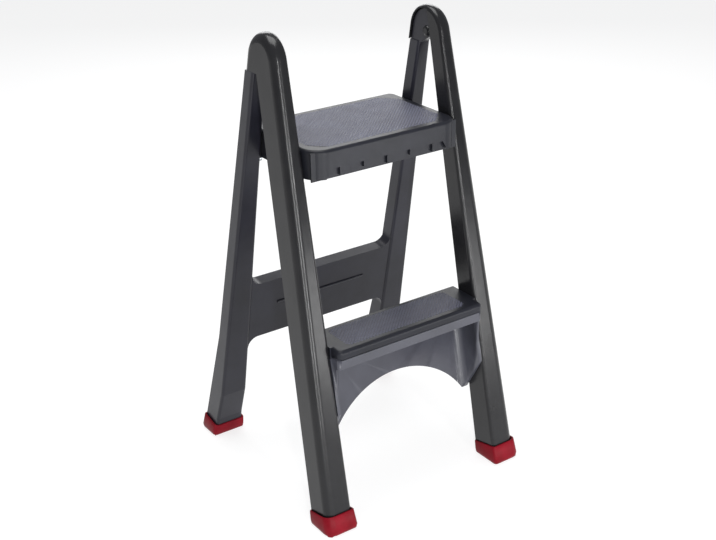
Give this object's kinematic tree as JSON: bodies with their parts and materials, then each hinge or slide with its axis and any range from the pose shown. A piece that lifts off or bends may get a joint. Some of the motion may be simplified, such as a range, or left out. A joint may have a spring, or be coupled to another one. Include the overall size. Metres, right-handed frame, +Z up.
{
  "type": "folding step stool chair",
  "caption": "Free-standing folding step stool of moulded plastic with A-shaped sides that rise as handles, an upper platform, a lower step over an arched apron, and capped feet.",
  "frame": {"origin": "on the floor, under the middle of the stool's bounding box", "axes": "+X to the right-hand side frame, -Y out of the front with the lower step, +Z up"},
  "size_m": [0.412, 0.4281, 0.78],
  "materials": {
    "charcoal_plastic": "fine-grained moulded plastic with a soft sheen",
    "red_rubber": "dark red moulded rubber-like caps, softly shiny",
    "zinc_plated_steel": "zinc-plated pins, clips and screws"
  },
  "bodies": {
    "root": {"front_leg_left": "charcoal_plastic", "front_leg_right": "charcoal_plastic", "lower_step": "charcoal_plastic", "arch_panel": "charcoal_plastic", "front_foot_left": "red_rubber", "front_foot_right": "red_rubber", "hinge_pin_left": "charcoal_plastic", "hinge_pin_right": "charcoal_plastic", "step_pin_left": "zinc_plated_steel", "step_pin_right": "zinc_plated_steel", "step_pin_clip_left": "zinc_plated_steel", "step_pin_clip_right": "zinc_plated_steel", "lower_step_screws": "zinc_plated_steel"},
    "rear_frame": {"rear_leg_left": "charcoal_plastic", "rear_leg_right": "charcoal_plastic", "rear_cross_panel": "charcoal_plastic", "rear_foot_left": "red_rubber", "rear_foot_right": "red_rubber", "rest_pin_left": "zinc_plated_steel", "rest_pin_right": "zinc_plated_steel", "rear_panel_screws": "zinc_plated_steel"},
    "upper_step": {"upper_step": "charcoal_plastic"}
  },
  "joints": [
    {"name": "rear_frame_fold", "type": "hinge", "parent": "root", "child": "rear_frame", "pos_m": [0, -0.003, 0.737], "axis": [-1, 0, 0], "range_deg": [0, 23]},
    {"name": "upper_step_tilt", "type": "hinge", "parent": "root", "child": "upper_step", "pos_m": [0, -0.05799, 0.583], "axis": [1, 0, 0], "range_deg": [0, 78]}
  ]
}
